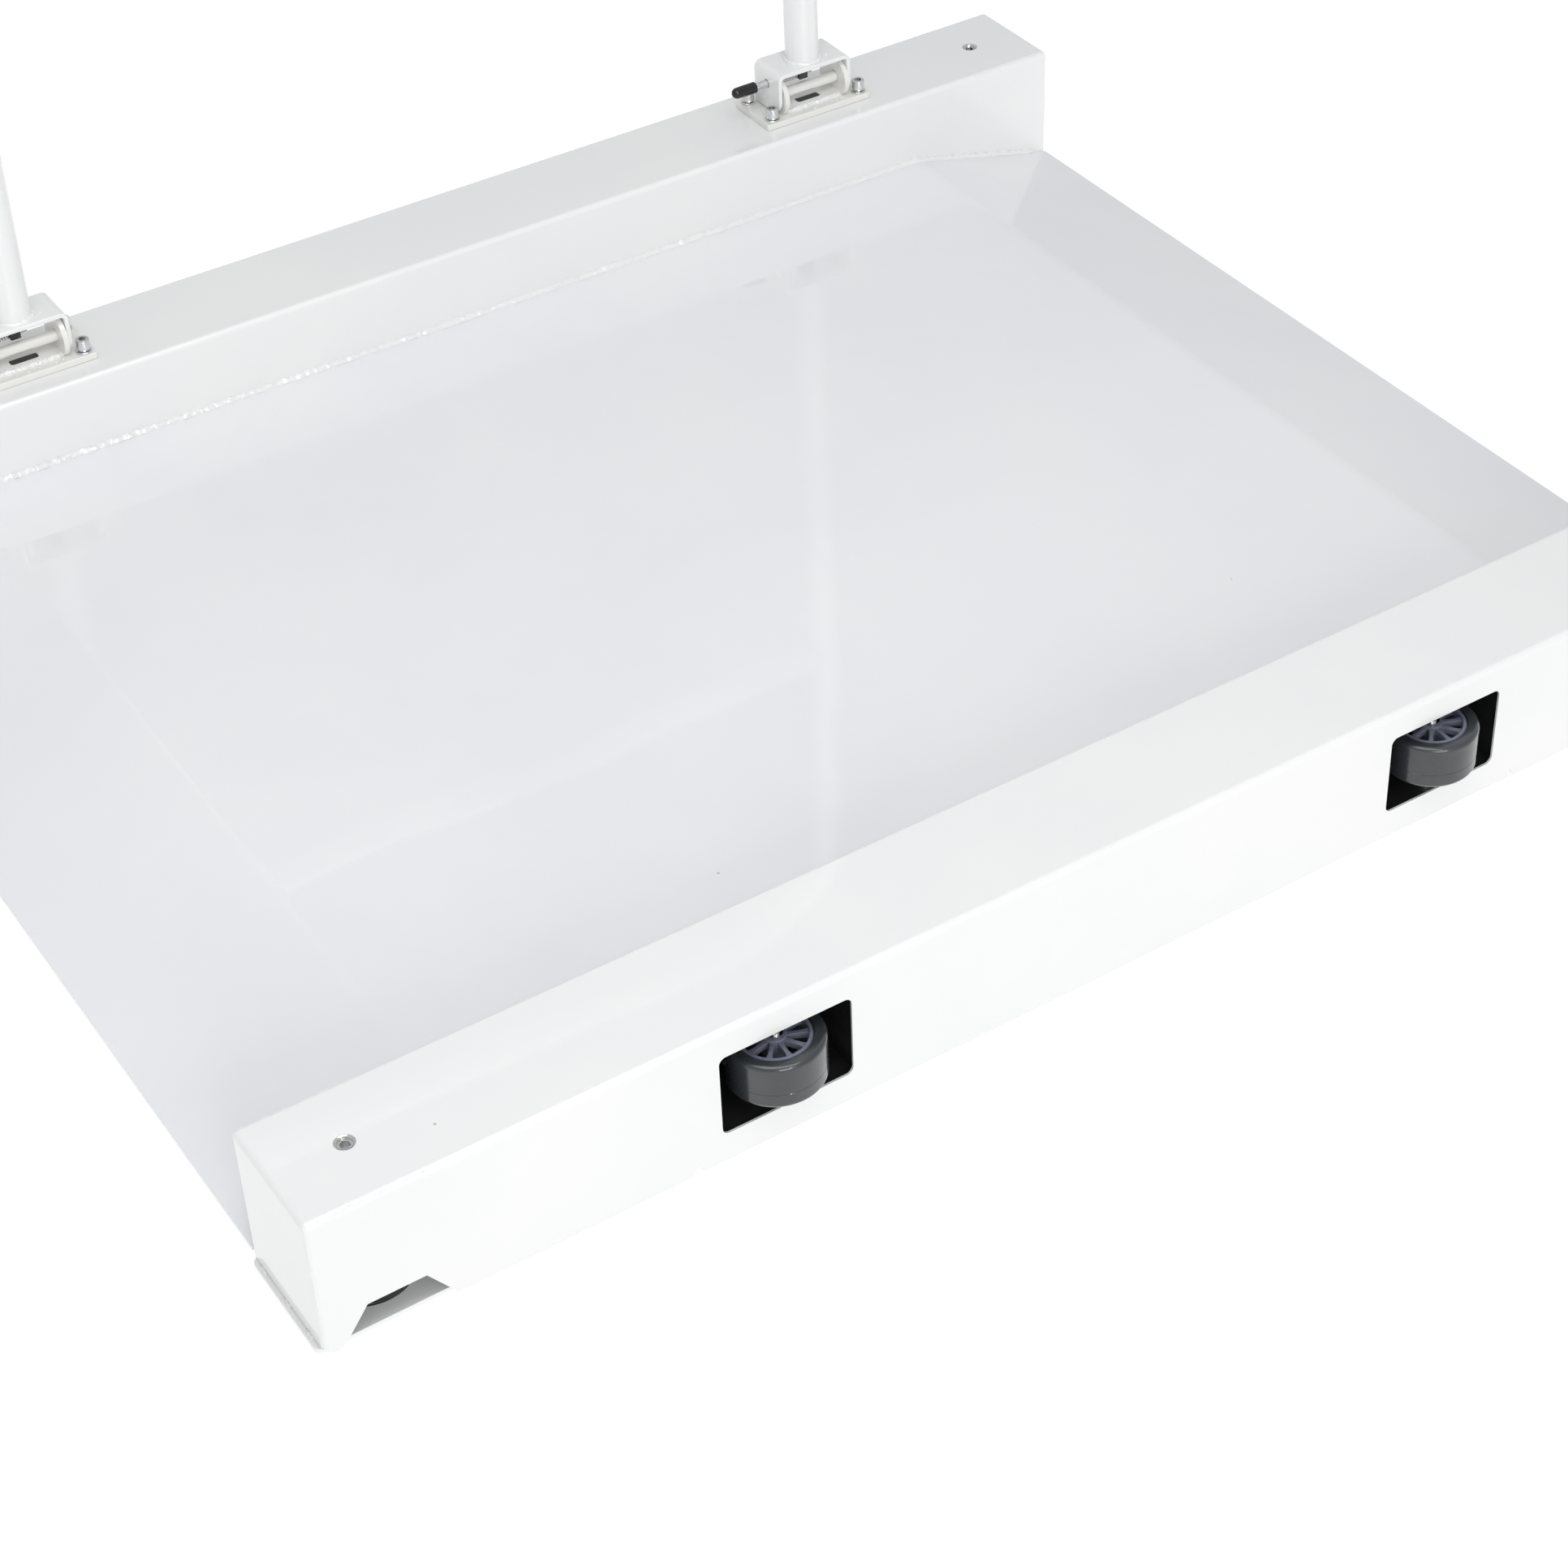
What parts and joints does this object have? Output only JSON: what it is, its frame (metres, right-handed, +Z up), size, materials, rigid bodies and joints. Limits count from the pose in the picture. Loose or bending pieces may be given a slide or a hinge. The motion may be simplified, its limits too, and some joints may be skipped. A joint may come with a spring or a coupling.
{
  "type": "wheelchair platform scale",
  "caption": "Portable wheelchair platform scale in white painted steel: ramped deck between side beams, fold-down handrail, levelling feet and transport wheels.",
  "frame": {"origin": "on the floor, under the middle of the object's box", "axes": "+X along the side beams, +Y from the wheeled near beam to the handrail's beam, +Z up"},
  "size_m": [1.126, 0.961, 1],
  "materials": {
    "white_paint": "gloss",
    "zinc_plate": "satin",
    "load_cell_alloy": "satin",
    "black_rubber": "matte",
    "black_paint": "satin",
    "hub_plastic": "satin",
    "tyre_plastic": "satin",
    "spring_steel": "satin"
  },
  "bodies": {
    "platform": {"deck_rib_1": "white_paint", "deck_rib_2": "white_paint", "deck_rib_3": "white_paint", "deck_sheet": "white_paint", "foot_plate_far_left": "white_paint", "foot_plate_far_right": "white_paint", "foot_plate_near_left": "white_paint", "foot_plate_near_right": "white_paint", "hinge_base_left": "white_paint", "hinge_base_right": "white_paint", "hinge_pin_left": "white_paint", "hinge_pin_right": "white_paint", "hinge_screw_left_1": "zinc_plate", "hinge_screw_left_2": "zinc_plate", "hinge_screw_left_3": "zinc_plate", "hinge_screw_left_4": "zinc_plate", "hinge_screw_right_1": "zinc_plate", "hinge_screw_right_2": "zinc_plate", "hinge_screw_right_3": "zinc_plate", "hinge_screw_right_4": "zinc_plate", "junction_box": "black_paint", "load_cell_far_left": "load_cell_alloy", "load_cell_far_right": "load_cell_alloy", "load_cell_near_left": "load_cell_alloy", "load_cell_near_right": "load_cell_alloy", "side_beam_far": "white_paint", "side_beam_near": "white_paint", "wheel_axle_left": "zinc_plate", "wheel_axle_right": "zinc_plate", "wheel_housing_left": "black_paint", "wheel_housing_right": "black_paint"},
    "handrail": {"hinge_fork_left": "white_paint", "hinge_fork_right": "white_paint", "latch_block_left": "black_paint", "latch_block_right": "black_paint", "mid_rail": "white_paint", "post_left": "white_paint", "post_right": "white_paint", "top_rail": "white_paint"},
    "latch_left": {"latch_rod_left": "zinc_plate", "latch_cap_left": "black_rubber", "latch_spring_left": "spring_steel"},
    "latch_right": {"latch_rod_right": "zinc_plate", "latch_cap_right": "black_rubber", "latch_spring_right": "spring_steel"},
    "wheel_left": {"wheel_hub_left": "hub_plastic", "wheel_tyre_left": "tyre_plastic"},
    "wheel_right": {"wheel_hub_right": "hub_plastic", "wheel_tyre_right": "tyre_plastic"},
    "foot_near_left": {"foot_pad_near_left": "black_rubber", "foot_stud_near_left": "zinc_plate"},
    "foot_near_right": {"foot_pad_near_right": "black_rubber", "foot_stud_near_right": "zinc_plate"},
    "foot_far_left": {"foot_pad_far_left": "black_rubber", "foot_stud_far_left": "zinc_plate"},
    "foot_far_right": {"foot_pad_far_right": "black_rubber", "foot_stud_far_right": "zinc_plate"}
  },
  "joints": [
    {"name": "handrail_fold", "type": "hinge", "parent": "platform", "child": "handrail", "pos_m": [0, 0.4295, 0.1268], "axis": [1, 0, 0], "range_deg": [0, 90]},
    {"name": "latch_push_left", "type": "slide", "parent": "handrail", "child": "latch_left", "axis": [1, 0, 0], "range_m": [0, 0.008], "stiffness_N_per_m": 600, "springref_m": -0.008},
    {"name": "latch_push_right", "type": "slide", "parent": "handrail", "child": "latch_right", "axis": [1, 0, 0], "range_m": [0, 0.008], "stiffness_N_per_m": 600, "springref_m": -0.008},
    {"name": "wheel_roll_left", "type": "hinge", "parent": "platform", "child": "wheel_left", "pos_m": [-0.253, -0.4492, 0.0595], "axis": [0, 0, 1], "continuous": true},
    {"name": "wheel_roll_right", "type": "hinge", "parent": "platform", "child": "wheel_right", "pos_m": [0.253, -0.4492, 0.0595], "axis": [0, 0, 1], "continuous": true},
    {"name": "foot_level_near_left", "type": "slide", "parent": "platform", "child": "foot_near_left", "axis": [0, 0, -1], "range_m": [0, 0.008]},
    {"name": "foot_level_near_right", "type": "slide", "parent": "platform", "child": "foot_near_right", "axis": [0, 0, -1], "range_m": [0, 0.008]},
    {"name": "foot_level_far_left", "type": "slide", "parent": "platform", "child": "foot_far_left", "axis": [0, 0, -1], "range_m": [0, 0.008]},
    {"name": "foot_level_far_right", "type": "slide", "parent": "platform", "child": "foot_far_right", "axis": [0, 0, -1], "range_m": [0, 0.008]}
  ]
}
